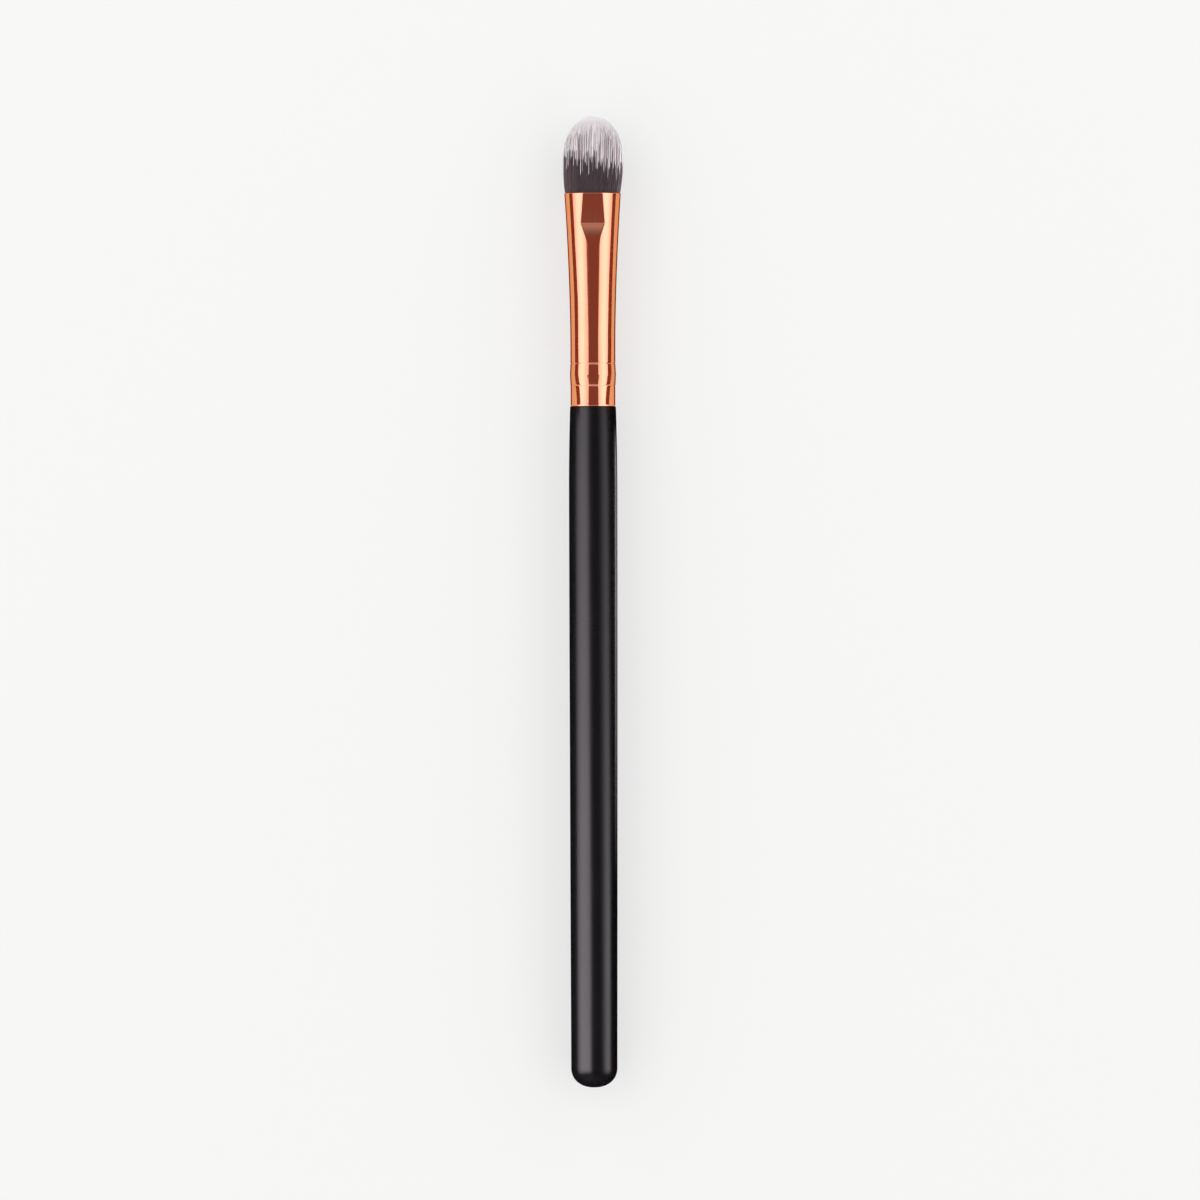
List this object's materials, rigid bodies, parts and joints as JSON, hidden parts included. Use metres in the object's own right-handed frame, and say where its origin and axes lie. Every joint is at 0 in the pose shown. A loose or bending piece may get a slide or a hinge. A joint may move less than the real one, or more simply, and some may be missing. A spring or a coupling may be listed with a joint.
{
  "type": "blending brush",
  "caption": "Slim cosmetic blending brush with a round, domed tuft, a crimped ferrule that flares to a mouth with two shallow pressed flats, and a long turned handle with a domed butt.",
  "frame": {"origin": "at mid-length, straight below the brush's axis and level with the lower pressed flat at the ferrule's mouth", "axes": "+Y along the brush towards the tip of the tuft, +Z square to the ferrule's pressed flats, +X across them"},
  "size_m": [0.0102, 0.175, 0.0095],
  "materials": {
    "lacquered_wood": "turned hardwood under satin black lacquer",
    "rose_gold_plate": "drawn aluminium tube, polished and plated rose gold",
    "dyed_filament": "fine synthetic filament, dyed dark taupe at the root and left white at the tip",
    "waxed_cotton": "waxed binding thread",
    "clear_epoxy": "cured clear resin",
    "wood_glue": "cured white wood glue"
  },
  "bodies": {
    "root": {"handle": "lacquered_wood", "ferrule": "rose_gold_plate", "bristle_tuft": "dyed_filament", "binding_thread": "waxed_cotton", "root_epoxy": "clear_epoxy", "tenon_glue": "wood_glue"}
  },
  "joints": []
}
